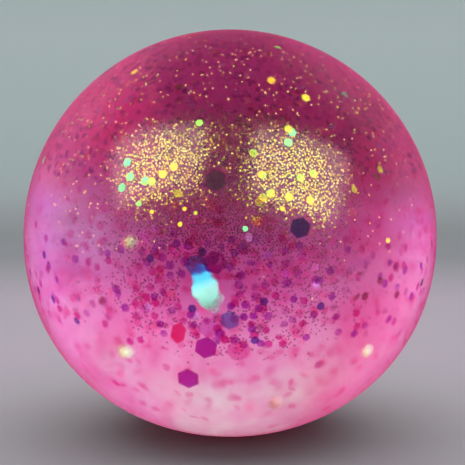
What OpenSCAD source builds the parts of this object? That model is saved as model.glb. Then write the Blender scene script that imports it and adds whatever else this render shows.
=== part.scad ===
// Soft ball with a clear gel filling and loose hexagonal glitter.
// Millimetres, +Z up. The ball rests on its flattened foot at z = 0, with the axis of the mould on Z.

/* [Ball] */
// Width of the ball at its widest level
ball_d = 70; // [55:1:100]
// Height of the settled ball
ball_h = 68; // [53:0.5:98]
// Flat foot that the soft ball rests on
foot_d = 16; // [13:0.5:24]
// Fullness of the lower half: 2 is an ellipse, more is fuller
fullness = 2.06; // [2:0.01:2.3]

/* [Skin] */
// Wall of the moulded skin
wall = 2.5; // [1.8:0.1:4]
// Height of the welded lap between the two halves
lap_h = 2; // [1:0.1:4]
// Gap between the lap faces
lap_gap = 0.15; // [0.05:0.05:0.3]

/* [Filler plug] */
// Stem of the plug
stem_d = 6; // [4:0.1:9]
// Flange of the plug, let into the foot
flange_d = 10; // [9.2:0.1:12]
// Thickness of the flange
flange_t = 1; // [0.6:0.1:1.2]
// Barb that holds the plug behind the wall
barb_d = 8; // [6.5:0.1:9]
// Height of the barb's cone
barb_h = 2.4; // [1.2:0.1:4]
// How far the flange sits above the foot's plane
plug_recess = 0.3; // [0.1:0.05:0.5]
// Gap round the plug in its hole
plug_gap = 0.05; // [0.02:0.01:0.15]

/* [Gel] */
// Gap between the gel and the skin
gel_gap = 0.3; // [0.1:0.05:0.6]
// Gel left between the skin and the outermost flakes
gel_cover = 0.4; // [0.2:0.1:2]

/* [Large hexagons] */
// Width across the flats of a large hexagon
hex_w = 3.2; // [2:0.1:4]
// Film thickness of a large hexagon
hex_t = 0.12; // [0.05:0.01:0.2]
// Large hexagons round the whole ball
hex_n = 45; // [12:1:60]
// Most that a large hexagon leans from the skin
hex_lean = 16; // [0:1:25]

/* [Dots] */
// Width across the flats of a dot
dot_w = 1.25; // [0.8:0.05:2]
// Film thickness of a dot
dot_t = 0.12; // [0.05:0.01:0.2]
// Dots round the whole ball
dot_n = 132; // [30:1:180]
// Most that a dot leans from the skin
dot_lean = 14; // [0:1:25]

/* [Fine glitter] */
// Width across the flats of a grain
fine_w = 0.4; // [0.2:0.05:0.8]
// Film thickness of a grain
fine_t = 0.1; // [0.05:0.01:0.2]
// Grains round the whole ball
fine_n = 170; // [40:1:240]
// Most that a grain leans from the skin
fine_lean = 10; // [0:1:25]

/* [Film offcuts] */
// Width of an offcut across its long flats
film_w = 4.4; // [2:0.1:6]
// Length of an offcut from point to point
film_l = 6.8; // [5.5:0.1:9]
// Film thickness of an offcut
film_t = 0.12; // [0.05:0.01:0.2]
// Offcuts round the whole ball
film_n = 10; // [4:1:16]
// Most that an offcut leans from the skin
film_lean = 20; // [0:1:30]

/* [Flake spacing] */
// Gel film round each flake
pocket_gap = 0.1; // [0.05:0.01:0.2]
// Gel between one layer of flakes and the next
layer_gap = 0.4; // [0.2:0.1:1.5]
// No flake hangs below this angle under the widest level
low_limit = -58; // [-62:1:-30]

/* [Hidden] */
$fn = 96;
eps = 0.01;
golden = 180 * (3 - sqrt(5));

ball_r = ball_d / 2;
mid_z = ball_h - ball_r;
// How far the lower half would reach below the widest level without its flat foot.
sag = mid_z / pow(1 - pow(foot_d / ball_d, fullness), 1 / fullness);
arc_steps = 30;

// Distance from the middle of the ball to its outside at an angle above the widest level.
function outside(rise) = rise >= 0 ? ball_r
    : 1 / pow(pow(cos(rise) / ball_r, fullness) + pow(-sin(rise) / sag, fullness), 1 / fullness);

// The plug's levels, from the flange upwards.
hole_d = stem_d + 2 * plug_gap;
seat_d = flange_d + 2 * plug_gap;
seat_z = plug_recess + flange_t + plug_gap;
barb_z = wall + plug_gap;
barb_tip_d = stem_d - 1.6;

// Half of the height that a leaning flake and its pocket take up.
function reach(w, t, lean) = w / 2 / cos(30) * sin(lean) + (t / 2 + pocket_gap) * cos(lean)
    + pocket_gap;

fine_reach = reach(fine_w, fine_t, fine_lean);
dot_reach = reach(dot_w, dot_t, dot_lean);
hex_reach = reach(hex_w, hex_t, hex_lean);
film_reach = reach(film_l * cos(30), film_t, film_lean);

// Depth of each layer under the outside of the skin.
fine_depth = wall + gel_gap + gel_cover + fine_reach;
dot_depth = fine_depth + fine_reach + layer_gap + dot_reach;
hex_depth = dot_depth + dot_reach + layer_gap + hex_reach;
film_depth = hex_depth + hex_reach + layer_gap + film_reach;
hex_deep = film_depth + film_reach + layer_gap + hex_reach;
dot_deep = hex_deep + hex_reach + layer_gap + dot_reach;

// Width, length over the points, thickness, number, lean, depth, depth of the deep share, seed.
HEX = [hex_w, hex_w / cos(30), hex_t, hex_n, hex_lean, hex_depth, hex_deep, 11];
DOT = [dot_w, dot_w / cos(30), dot_t, dot_n, dot_lean, dot_depth, dot_deep, 23];
FINE = [fine_w, fine_w / cos(30), fine_t, fine_n, fine_lean, fine_depth, fine_depth, 37];
FILM = [film_w, film_l, film_t, film_n, film_lean, film_depth, film_depth, 53];

// Half section of the settled ball, inset from the outside by d: a half circle on a settled bowl.
module section(d) {
    k = sag / mid_z;
    foot_a = asin(pow(1 / k, fullness / 2));
    bowl = [
        for (i = [arc_steps : -1 : 0])
            [
                (ball_r - d) * pow(cos(foot_a * i / arc_steps), 2 / fullness),
                -(mid_z - d) * k * pow(sin(foot_a * i / arc_steps), 2 / fullness)
            ]
    ];
    translate([0, mid_z]) {
        intersection() {
            circle(r = ball_r - d);
            square([ball_d, ball_d]);
        }
        polygon(concat([[0, 0], [0, d - mid_z]], bowl));
    }
}

module shell_section() {
    difference() {
        section(0);
        section(wall);
    }
}

// Inner half of the wall at the weld, which the upper cup's lip takes up.
module lap_zone(grow) {
    translate([0, mid_z - lap_h - grow]) square([ball_r - wall / 2 + grow, lap_h + grow]);
}

module skin_upper() {
    color([0.93, 0.45, 0.66, 0.45])
        rotate_extrude() {
            intersection() {
                shell_section();
                union() {
                    translate([0, mid_z]) square([ball_d, ball_d]);
                    lap_zone(0);
                }
            }
        }
}

module skin_lower() {
    color([0.93, 0.45, 0.66, 0.45])
        rotate_extrude() {
            difference() {
                shell_section();
                translate([0, mid_z]) square([ball_d, ball_d]);
                lap_zone(lap_gap);
                translate([0, -eps]) square([hole_d / 2, wall + 2 * eps]);
                translate([0, -eps]) square([seat_d / 2, seat_z + eps]);
            }
        }
}

// Half section of the plug, swollen by g for the room that the gel leaves round it.
module plug_section(g) {
    translate([0, plug_recess]) square([flange_d / 2, flange_t]);
    translate([0, plug_recess]) square([stem_d / 2, barb_z - plug_recess + eps]);
    polygon([
        [0, barb_z], [barb_d / 2 + g, barb_z],
        [barb_d / 2 + g, barb_z + barb_h / 4 + g],
        [barb_tip_d / 2 + g, barb_z + barb_h + g], [0, barb_z + barb_h + g]
    ]);
}

module fill_plug() {
    color([0.90, 0.40, 0.62, 0.70])
        rotate_extrude() plug_section(0);
}

module flake(kind, grow) {
    flat = kind[0] / 2 + grow;
    tip = kind[1] / 2 + grow / cos(30);
    side = tip - flat * tan(30);
    translate([0, 0, -kind[2] / 2 - grow])
        linear_extrude(height = kind[2] + 2 * grow)
            polygon([
                [tip, 0], [side, flat], [-side, flat],
                [-tip, 0], [-side, -flat], [side, -flat]
            ]);
}

// Places flakes of one kind along a spiral over the ball: every step-th one from first on.
module flakes(kind, first, step, upper, grow) {
    lean = rands(-kind[4], kind[4], kind[3], kind[7]);
    turn = rands(0, 360, kind[3], kind[7] + 1);
    for (i = [first : step : kind[3] - 1]) {
        rise = asin(1 - 2 * (i + 0.5) / kind[3]);
        depth = (i % 4 == 3) ? kind[6] : kind[5];
        if (rise > low_limit && (upper == (rise >= 0)))
            translate([0, 0, mid_z])
                rotate([0, 90 - rise, i * golden])
                    translate([0, 0, outside(rise) - depth])
                        rotate([0, 0, turn[i]])
                            rotate([lean[i], 0, 0])
                                flake(kind, grow);
    }
}

module pockets(kind) {
    flakes(kind, 0, 1, true, pocket_gap);
    flakes(kind, 0, 1, false, pocket_gap);
}

module gel_filling() {
    color([0.96, 0.62, 0.78, 0.35])
        difference() {
            rotate_extrude()
                difference() {
                    section(wall + gel_gap);
                    translate([0, plug_gap]) plug_section(gel_gap);
                }
            pockets(HEX);
            pockets(DOT);
            pockets(FINE);
            pockets(FILM);
        }
}

module hex_magenta_upper() { color([0.72, 0.08, 0.45]) flakes(HEX, 0, 3, true, 0); }
module hex_magenta_lower() { color([0.72, 0.08, 0.45]) flakes(HEX, 0, 3, false, 0); }
module hex_violet_upper() { color([0.48, 0.16, 0.62]) flakes(HEX, 1, 3, true, 0); }
module hex_violet_lower() { color([0.48, 0.16, 0.62]) flakes(HEX, 1, 3, false, 0); }
module hex_indigo_upper() { color([0.20, 0.14, 0.50]) flakes(HEX, 2, 3, true, 0); }
module hex_indigo_lower() { color([0.20, 0.14, 0.50]) flakes(HEX, 2, 3, false, 0); }
module dot_pink_upper() { color([0.86, 0.24, 0.55]) flakes(DOT, 0, 3, true, 0); }
module dot_pink_lower() { color([0.86, 0.24, 0.55]) flakes(DOT, 0, 3, false, 0); }
module dot_purple_upper() { color([0.52, 0.14, 0.58]) flakes(DOT, 1, 3, true, 0); }
module dot_purple_lower() { color([0.52, 0.14, 0.58]) flakes(DOT, 1, 3, false, 0); }
module dot_gold_upper() { color([0.93, 0.80, 0.30]) flakes(DOT, 2, 3, true, 0); }
module dot_gold_lower() { color([0.93, 0.80, 0.30]) flakes(DOT, 2, 3, false, 0); }
module fine_glitter_upper() { color([0.95, 0.82, 0.50]) flakes(FINE, 0, 1, true, 0); }
module fine_glitter_lower() { color([0.95, 0.82, 0.50]) flakes(FINE, 0, 1, false, 0); }
module film_flakes_upper() { color([0.55, 0.92, 0.85]) flakes(FILM, 0, 1, true, 0); }
module film_flakes_lower() { color([0.55, 0.92, 0.85]) flakes(FILM, 0, 1, false, 0); }

skin_upper();
skin_lower();
fill_plug();
gel_filling();
hex_magenta_upper();
hex_magenta_lower();
hex_violet_upper();
hex_violet_lower();
hex_indigo_upper();
hex_indigo_lower();
dot_pink_upper();
dot_pink_lower();
dot_purple_upper();
dot_purple_lower();
dot_gold_upper();
dot_gold_lower();
fine_glitter_upper();
fine_glitter_lower();
film_flakes_upper();
film_flakes_lower();
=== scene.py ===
"""Clear pink gel ball with floating colour-shifting glitter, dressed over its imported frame."""

import logging
import math
from collections.abc import Sequence
from dataclasses import dataclass
from enum import Enum
from itertools import product

import bpy
import numpy as np
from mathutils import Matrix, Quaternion, Vector


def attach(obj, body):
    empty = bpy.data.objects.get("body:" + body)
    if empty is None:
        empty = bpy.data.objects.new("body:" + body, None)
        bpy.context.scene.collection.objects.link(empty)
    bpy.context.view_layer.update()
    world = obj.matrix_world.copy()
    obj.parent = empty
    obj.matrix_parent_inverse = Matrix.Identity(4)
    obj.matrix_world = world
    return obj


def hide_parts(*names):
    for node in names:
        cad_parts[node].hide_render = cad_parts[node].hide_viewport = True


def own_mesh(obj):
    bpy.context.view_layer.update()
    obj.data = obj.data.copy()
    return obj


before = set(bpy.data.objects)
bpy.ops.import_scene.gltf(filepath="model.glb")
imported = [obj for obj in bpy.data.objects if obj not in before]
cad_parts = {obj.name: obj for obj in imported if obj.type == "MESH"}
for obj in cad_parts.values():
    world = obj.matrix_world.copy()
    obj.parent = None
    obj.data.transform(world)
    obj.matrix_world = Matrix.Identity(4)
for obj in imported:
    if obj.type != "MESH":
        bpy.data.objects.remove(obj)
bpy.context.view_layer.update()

MM = 0.001
LOG = logging.getLogger("gel_ball")

Colour = tuple[float, float, float]
Bands = Sequence[tuple[float, tuple[float, ...]]]
Piece = bpy.types.Object
Material = bpy.types.Material
Socket = bpy.types.NodeSocket
Feed = bpy.types.Node | Socket | float | Sequence[float]


class Body(Enum):
    """Bodies of the frame that pieces ride on."""

    BASE = "base"


class Slot(Enum):
    """Material slots of the record."""

    SKIN = "skin"
    PLUG = "plug"
    GEL = "gel"
    MAGENTA = "magenta_film"
    VIOLET = "violet_film"
    INDIGO = "indigo_film"
    PINK = "pink_film"
    PURPLE = "purple_film"
    GOLD = "gold_film"
    FINE = "fine_glitter"
    TURQUOISE = "turquoise_film"


# Sizes of the ball


@dataclass(frozen=True)
class BallForm:
    """The settled ball: a round crown on a lower half that has sunk onto its foot.

    Attributes:
        width: Width at the widest level.
        height: Height of the settled ball.
        foot: Width of the flat foot.
        fullness: Fullness of the lower half, 2 for an ellipse.
        wall: Wall of the skin.
        gel_gap: Gap between the gel and the skin.
        travel: How far the crown goes down in a full squeeze.
    """

    width: float = 70.0 * MM
    height: float = 68.0 * MM
    foot: float = 16.0 * MM
    fullness: float = 2.06
    wall: float = 2.5 * MM
    gel_gap: float = 0.3 * MM
    travel: float = 24.0 * MM

    @property
    def radius(self) -> float:
        """Radius at the widest level."""
        return self.width / 2

    @property
    def middle(self) -> float:
        """Height of the widest level."""
        return self.height - self.radius

    @property
    def keep(self) -> float:
        """Share of the height that is left in a full squeeze."""
        return 1 - self.travel / self.height

    def outside(self, rise: np.ndarray, inset: float = 0.0) -> np.ndarray:
        """Distance from the middle of the ball to its surface.

        Args:
            rise: Angles above the widest level, in radians.
            inset: Depth of the surface under the outside.

        Returns:
            One distance for each angle.
        """
        power = self.fullness
        across = self.radius - inset
        shape = (1 - (self.foot / self.width) ** power) ** (1 / power)
        sag = (self.middle - inset) / shape
        below = (np.cos(rise) / across) ** power
        below += np.abs(np.sin(rise) / sag) ** power
        return np.where(rise >= 0, across, below ** (-1 / power))

    def settle(self, points: np.ndarray, inset: float) -> np.ndarray:
        """Lays the points of a round ball on the settled form.

        Args:
            points: Points round the middle of the ball, one a row.
            inset: Depth of the surface under the outside.

        Returns:
            The settled points.
        """
        arm = points - np.array([0.0, 0.0, self.middle])
        arm /= np.linalg.norm(arm, axis=1, keepdims=True)
        rise = np.arcsin(np.clip(arm[:, 2], -1, 1))
        out = arm * self.outside(rise, inset)[:, None]
        out[:, 2] = np.maximum(out[:, 2] + self.middle, inset)
        return out


FORM = BallForm()


# Modelling helpers


class Bench:
    """The steps that every piece is modelled with."""

    @staticmethod
    def clear() -> None:
        """Goes back to object mode with nothing selected."""
        if bpy.context.object and bpy.context.object.mode != "OBJECT":
            bpy.ops.object.mode_set(mode="OBJECT")
        bpy.ops.object.select_all(action="DESELECT")

    @staticmethod
    def pick(*pieces: Piece) -> None:
        """Selects the pieces, with the first one active.

        Args:
            *pieces: The pieces to select.
        """
        Bench.clear()
        for piece in pieces:
            piece.select_set(True)
        bpy.context.view_layer.objects.active = pieces[0]

    @staticmethod
    def points(piece: Piece) -> np.ndarray:
        """Reads the piece's vertices.

        Args:
            piece: The piece.

        Returns:
            One vertex a row.
        """
        flat = np.empty(len(piece.data.vertices) * 3)
        piece.data.vertices.foreach_get("co", flat)
        return flat.reshape(-1, 3)

    @staticmethod
    def put(piece: Piece, points: np.ndarray) -> None:
        """Writes the piece's vertices back."""
        piece.data.vertices.foreach_set("co", points.ravel())
        piece.data.update()

    @staticmethod
    def fresh(name: str) -> Piece:
        """Names the shape that was just added and puts its origin on the part's own.

        Args:
            name: Name of the piece.

        Returns:
            The named piece.
        """
        piece = bpy.context.object
        piece.name = piece.data.name = name
        bpy.ops.object.transform_apply(location=True)
        return piece

    @staticmethod
    def select(piece: Piece, chosen: np.ndarray | None = None) -> None:
        """Goes into edit mode with the chosen vertices selected, or all of them.

        Args:
            piece: The piece to edit.
            chosen: One truth value for each vertex.
        """
        Bench.pick(piece)
        bpy.ops.object.mode_set(mode="EDIT")
        bpy.ops.mesh.select_mode(type="VERT")
        bpy.ops.mesh.select_all(action="SELECT" if chosen is None else "DESELECT")
        if chosen is not None:
            bpy.ops.object.mode_set(mode="OBJECT")
            piece.data.vertices.foreach_set("select", chosen)
            bpy.ops.object.mode_set(mode="EDIT")

    @staticmethod
    def level(rise: float, scale: float, height: float) -> None:
        """Extrudes the selected ring up by the rise, then scales it at the height."""
        bpy.ops.mesh.extrude_region_move(TRANSFORM_OT_translate={"value": (0, 0, rise)})
        bpy.ops.transform.resize(value=(scale, scale, 1), center_override=(0, 0, height))

    @staticmethod
    def close_up(piece: Piece) -> None:
        """Merges doubles, turns every face outwards and shades the piece smooth.

        Args:
            piece: The piece to close.
        """
        Bench.select(piece)
        bpy.ops.mesh.remove_doubles(threshold=1e-6)
        bpy.ops.mesh.normals_make_consistent(inside=False)
        bpy.ops.object.mode_set(mode="OBJECT")
        bpy.ops.object.shade_smooth_by_angle(angle=math.radians(35))

    @staticmethod
    def seat(piece: Piece, slot: Slot, nodes: tuple[str, ...]) -> None:
        """Hangs a finished piece on the frame.

        Args:
            piece: The finished piece.
            slot: The record's slot; it is not used.
            nodes: The nodes that it stands for.
        """
        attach(piece, Body.BASE.value)
        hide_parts(*nodes)
        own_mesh(piece)
        LOG.info("%s: %d faces", piece.name, len(piece.data.polygons))


# Finishes


class Nodes:
    """The node tree of a material or of the world while it is being put together."""

    def __init__(self, owner: Material | bpy.types.World) -> None:
        """Starts with an empty tree.

        Args:
            owner: What the tree belongs to.
        """
        owner.use_nodes = True
        self.owner = owner
        self.tree = owner.node_tree
        self.tree.nodes.clear()

    @classmethod
    def of(cls, name: str) -> "Nodes":
        """Starts a new material of that name."""
        return cls(bpy.data.materials.new(name))

    def add(self, kind: str, *first: Feed, does: str = "", **named: Feed) -> bpy.types.Node:
        """Adds a node.

        Args:
            kind: Name of the shader node without its prefix.
            *first: What its first inputs take: a node or socket to join, or a value.
            does: Operation of a maths node, if it isn't to add.
            **named: What other inputs take, by name with underscores for spaces.

        Returns:
            The new node.
        """
        node = self.tree.nodes.new(f"ShaderNode{kind}")
        if does:
            node.operation = does
        inputs = [(node.inputs[i], feed) for i, feed in enumerate(first)]
        inputs += [(node.inputs[key.replace("_", " ")], feed) for key, feed in named.items()]
        for socket, feed in inputs:
            if isinstance(feed, bpy.types.Node):
                feed = feed.outputs[0]
            if isinstance(feed, Socket):
                self.tree.links.new(feed, socket)
            else:
                socket.default_value = (*feed, 1.0)[:4] if socket.type == "RGBA" else feed
        return node

    def where(self) -> Socket:
        """Adds the piece's own coordinates."""
        return self.add("TexCoord").outputs["Object"]

    def noise(self, scale: float, detail: float) -> Socket:
        """Adds a noise on the piece's own coordinates, with its waves a metre and its octaves."""
        noise = self.add("TexNoise", Vector=self.where(), Scale=scale, Detail=detail)
        return noise.outputs["Fac"]

    def ramp(self, value: Feed, low: float, high: float, bands: Bands) -> bpy.types.Node:
        """Spreads bands of colour over a range of a value.

        Args:
            value: The value.
            low: Value at the start of the ramp.
            high: Value at its end.
            bands: Place on the ramp, and colour with or without a share, of each band.

        Returns:
            The ramp.
        """
        ramp = self.add("ValToRGB", self.add("MapRange", value, low, high))
        steps = ramp.color_ramp.elements
        steps[0].position, steps[1].position = bands[0][0], bands[-1][0]
        steps[0].color, steps[1].color = ((*bands[i][1], 1.0)[:4] for i in (0, -1))
        for place, colour in bands[1:-1]:
            steps.new(place).color = (*colour, 1.0)[:4]
        return ramp

    def place(self) -> bpy.types.bpy_prop_collection:
        """Adds the three coordinates of the piece, each on its own."""
        return self.add("SeparateXYZ", self.where()).outputs

    def unmirrored(self) -> bpy.types.Node:
        """One for light that comes straight or through the ball, none for what a flake mirrors."""
        mirrors = self.add("LightPath").outputs["Glossy Depth"]
        return self.add("Math", mirrors, 0.5, does="LESS_THAN")

    def between(self, noise: Socket, low: float, high: float) -> bpy.types.Node:
        """Stretches a noise, which seldom leaves its middle, so that it runs from low to high."""
        return self.add("MapRange", noise, 0.3, 0.7, low, high)

    def finish(self, *shaders: bpy.types.Node) -> Material | bpy.types.World:
        """Joins the surface, and what is inside if that matters, to the owner's output."""
        self.add(f"Output{type(self.owner).__name__}", *shaders)
        return self.owner


# Waves a metre and octaves: the rubber's clouds, smears and ripples, the film's fading and tears
CLOUDS, SMEARS, RIPPLES = (105, 3), (70, 3), (420, 3)
FADING, TEARS = (310, 1), (420, 1)


@dataclass(frozen=True)
class ClearRubber:
    """Clear tinted soft rubber with a faintly uneven moulded surface.

    Attributes:
        name: Name of the material.
        tint: Colour of light that goes through the surface.
        cloud: Colour of light where the tint has gathered.
        gloss: Colour of light that the surface mirrors.
        depth_tint: Colour that is left after a stretch of the rubber.
        density: How strongly the rubber takes up the other colours, a metre.
        ior: Refractive index.
        smooth: Least and most roughness.
        ripple: Strength of the moulded unevenness.
        polish: Strength of the clear gloss on top.
        shade: Colour of the lamps' light that goes straight through.
        gather: How much more tint has gathered at the foot and at the top.
    """

    name: str
    tint: Colour
    cloud: Colour
    depth_tint: Colour = (1.0, 1.0, 1.0)
    density: float = 0.0
    gloss: Colour = (1.0, 0.66, 0.82)
    ior: float = 1.43
    smooth: tuple[float, float] = (0.16, 0.22)
    ripple: float = 0.05
    polish: float = 0.18
    shade: Colour = (0.98, 0.20, 0.18)
    gather: tuple[float, float] = (0.10, -0.12)

    def material(self) -> Material:
        """Makes the outer surface.

        Returns:
            The material.
        """
        make = Nodes.of(self.name)
        sunk = make.add("MapRange", make.place()["Z"], 0.0, FORM.height, *self.gather)
        gathered = make.add("Math", make.noise(*CLOUDS), sunk)
        glass = make.add(
            "BsdfPrincipled",
            Base_Color=make.ramp(gathered, 0.0, 1.0, ((0.44, self.tint), (0.68, self.cloud))),
            Roughness=make.between(make.noise(*SMEARS), *self.smooth),
            Normal=make.add(
                "Bump", Strength=self.ripple, Distance=0.2 * MM, Height=make.noise(*RIPPLES)
            ),
            Specular_Tint=self.gloss,
            Transmission_Weight=1.0,
            IOR=self.ior,
            Coat_Weight=self.polish,
            Coat_Roughness=0.2,
            Coat_IOR=1.6,
        )
        clear = make.add("BsdfTransparent", self.shade)
        shadow = make.add("LightPath").outputs["Is Shadow Ray"]
        shaders = [make.add("MixShader", shadow, glass, clear)]
        if self.density:
            shaders.append(make.add("VolumeAbsorption", self.depth_tint, self.density))
        return make.finish(*shaders)

    def wetted(self) -> Material:
        """Makes the inner face, which the gel wets so that it can't be seen."""
        make = Nodes.of(f"{self.name}_wetted")
        return make.finish(make.add("BsdfTransparent"))


@dataclass(frozen=True)
class ClearGel:
    """Clear gel that wets whatever it touches, so only its colour shows.

    Attributes:
        name: Name of the material.
        depth_tint: Colour that is left after a stretch of the gel.
        density: How strongly the gel takes up the other colours, a metre.
    """

    name: str
    depth_tint: Colour
    density: float

    def material(self) -> Material:
        """Makes the material.

        Returns:
            The material.
        """
        make = Nodes.of(self.name)
        inside = make.add("VolumeAbsorption", self.depth_tint, self.density)
        return make.finish(make.add("BsdfTransparent"), inside)


@dataclass(frozen=True)
class ShiftFilm:
    """Colour-shifting film: one colour seen through it, others where it mirrors the light.

    Attributes:
        name: Name of the material.
        through: Colour of light that goes through.
        glints: The colours that it mirrors, blended from flake to flake.
        mirror: Share of light that it mirrors.
        roughness: Blur of the mirrored light.
        shift_scale: Waves a metre of the change from flake to flake.
        faint: Colour that the palest flakes let through, if they differ.
        soft: Share of its width over which it thins out; such a film shifts along its length.
        edge: Share of its width at which a soft film ends.
        torn: How far that end wanders in and out.
    """

    name: str
    through: Colour
    glints: tuple[Colour, ...]
    mirror: float = 0.45
    roughness: float = 0.2
    shift_scale: float = 260.0
    faint: Colour | None = None
    soft: float = 0.0
    edge: float = 0.9
    torn: float = 0.2

    def material(self) -> Material:
        """Makes the material.

        Returns:
            The material.
        """
        make = Nodes.of(self.name)
        bands = list(zip(np.linspace(0.3, 0.7, len(self.glints)), self.glints))
        if self.soft:
            flake = make.add("Attribute")
            flake.attribute_name = "flake"
            across = flake.outputs["Vector"]
            glint = make.ramp(make.add("SeparateXYZ", across), -1.0, 1.0, bands)
        else:
            glint = make.ramp(make.noise(self.shift_scale, 1), 0.0, 1.0, bands)
        shine = make.add("BsdfPrincipled", Base_Color=glint, Metallic=1.0, Roughness=self.roughness)
        tint = self.through
        if self.faint:
            tints = ((0.42, self.through), (0.60, self.faint))
            tint = make.ramp(make.noise(*FADING), 0.0, 1.0, tints)
        film = make.add("MixShader", self.mirror, make.add("BsdfTransparent", tint), shine)
        if self.soft:
            out = make.add("VectorMath", across, does="LENGTH").outputs["Value"]
            torn = make.add("Math", out, make.between(make.noise(*TEARS), -self.torn, self.torn))
            solid = make.add("MapRange", torn, self.edge, self.edge - self.soft)
            film = make.add("MixShader", solid, make.add("BsdfTransparent"), film)
        return make.finish(film)


@dataclass(frozen=True)
class StudioPaint:
    """Matt grey paint of the floor and wall, in rings that run into each other; a darker ring on
    the far floor, before it rises to the wall, is painted shade.

    Attributes:
        name: Name of the material.
        end: Where the last ring lies, out from the ball and up the wall.
        bands: Share of the way to the end, and colour, of each ring.
    """

    name: str
    end: float
    bands: Bands

    def material(self) -> Material:
        """Makes the material.

        Returns:
            The material.
        """
        make = Nodes.of(self.name)
        flat = make.add("VectorMath", make.where(), (1, 1, 0), does="MULTIPLY")
        out = make.add("VectorMath", flat, does="LENGTH").outputs["Value"]
        total = make.add("Math", out, make.place()["Z"])
        ring = make.ramp(total, 0.0, self.end, self.bands)
        shown = make.add("VectorMath", ring, Scale=make.unmirrored(), does="SCALE")
        return make.finish(make.add("BsdfPrincipled", Base_Color=shown, Roughness=0.75))


# Brightest glow that a card of the studio can show
BRIGHTEST = 3.5


@dataclass(frozen=True)
class ScreenGlow:
    """Glow of a light screen: bands up it, which give way to others towards its sides.

    Attributes:
        name: Name of the material.
        tall: Height of the last band.
        up: Share of the height, and glow, of each band.
        wide: Distance of the last side band from the middle.
        across: Place from side to side, and glow and share, of each side band.
        deep: Distance behind the ball of the last band there.
        along: Share of that distance, and factor on the side bands, of each of them.
    """

    name: str
    tall: float
    up: Bands
    wide: float
    across: Bands
    deep: float = 1.0
    along: Bands = ((0.0, (1, 1, 1)), (1.0, (1, 1, 1)))

    def material(self) -> Material:
        """Makes the material.

        Returns:
            The material.
        """
        make = Nodes.of(self.name)
        place = make.place()
        high = make.ramp(place["Z"], 0.0, self.tall, self.dimmed(self.up))
        side = make.ramp(place["X"], -self.wide, self.wide, self.dimmed(self.across))
        away = make.ramp(place["Y"], 0.0, self.deep, self.dimmed(self.along))
        shaded = make.add("VectorMath", side, away, does="MULTIPLY")
        both = make.add(
            "MixShader",
            side.outputs["Alpha"],
            make.add("Emission", high, BRIGHTEST),
            make.add("Emission", shaded, BRIGHTEST**2),
        )
        clear = make.add("BsdfTransparent")
        return make.finish(make.add("MixShader", make.unmirrored(), clear, both))

    @staticmethod
    def dimmed(bands: Bands) -> Bands:
        """Brings the glows down to shares of the brightest one, as a ramp ends at one.

        Args:
            bands: Place, and glow with or without a share, of each band.

        Returns:
            The same bands, dimmed.
        """
        return [
            (place, (*(c / BRIGHTEST for c in glow[:3]), *glow[3:])) for place, glow in bands
        ]


# The skin, its plug and the gel

# Shares of the wall above which, and under which, a face of the skin is wetted by the gel
WET_ABOVE, WET_UNDER = 0.9, 0.8
# How far a vertex of a rim may be off it
RIM_PLAY = 0.01 * MM


@dataclass
class Skin:
    """Moulded skin with a stepped filler hole in its foot.

    Attributes:
        seat_r: Radius of the recess for the plug's flange.
        hole_r: Radius of the filler hole.
        seat_z: Height of the recess's floor.
        segments: Faces round the axis.
        rings: Faces from foot to crown.
        rubber: Finish of the outside.
    """

    seat_r: float = 5.05 * MM
    hole_r: float = 3.05 * MM
    seat_z: float = 1.35 * MM
    segments: int = 144
    rings: int = 96
    rubber: ClearRubber = ClearRubber(
        "clear_pink_rubber", (1.0, 0.94, 0.97), (1.0, 0.44, 0.74)
    )

    def cup(self, name: str, inset: float, opening: float) -> Piece:
        """Makes a settled ball with an open foot.

        Args:
            name: Name of the piece.
            inset: Depth under the outside of the skin.
            opening: Radius of the opening in the foot.

        Returns:
            The open ball, with the rim of the opening selected in edit mode.
        """
        Bench.clear()
        bpy.ops.mesh.primitive_uv_sphere_add(
            segments=self.segments,
            ring_count=self.rings,
            radius=FORM.radius - inset,
            location=(0, 0, FORM.middle),
        )
        piece = Bench.fresh(name)
        points = FORM.settle(Bench.points(piece), inset)
        Bench.put(piece, points)
        reach = np.hypot(points[:, 0], points[:, 1])
        low = points[:, 2] < FORM.middle
        Bench.select(piece, low & (reach < opening))
        bpy.ops.mesh.delete(type="VERT")
        bpy.ops.object.mode_set(mode="OBJECT")
        points = Bench.points(piece)
        reach = np.hypot(points[:, 0], points[:, 1])
        low = points[:, 2] < FORM.middle
        rim = low & (reach < reach[low].min() + RIM_PLAY)
        points[rim, :2] *= (opening / reach[rim])[:, None]
        points[rim, 2] = inset
        Bench.put(piece, points)
        Bench.select(piece, rim)
        return piece

    def build(self) -> Piece:
        """Makes the skin as one closed shell.

        Returns:
            The finished piece.
        """
        outer = self.cup("skin", 0.0, self.seat_r)
        Bench.level(self.seat_z, 1.0, self.seat_z)
        Bench.level(0.0, self.hole_r / self.seat_r, self.seat_z)
        inner = self.cup("skin_inner", FORM.wall, self.hole_r)
        Bench.pick(outer, inner)
        bpy.ops.object.join()
        points = Bench.points(outer)
        reach = np.hypot(points[:, 0], points[:, 1])
        low = points[:, 2] < 2 * FORM.wall
        Bench.select(outer, low & (np.abs(reach - self.hole_r) < 2 * RIM_PLAY))
        bpy.ops.mesh.bridge_edge_loops()
        Bench.close_up(outer)
        return outer

    def dress(self, piece: Piece) -> None:
        """Gives the outside its rubber and the wetted wall its own finish.

        Args:
            piece: The skin.
        """
        piece.data.materials.append(self.rubber.material())
        piece.data.materials.append(self.rubber.wetted())
        for face in piece.data.polygons:
            arm = np.array(face.center) - np.array([0, 0, FORM.middle])
            far = float(np.linalg.norm(arm))
            outside = float(FORM.outside(np.array([math.asin(arm[2] / far)]))[0])
            high = face.center[2] > FORM.wall * WET_ABOVE
            face.material_index = int(high and outside - far > FORM.wall * WET_UNDER)
        Bench.seat(piece, Slot.SKIN, ("skin_upper", "skin_lower"))


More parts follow.
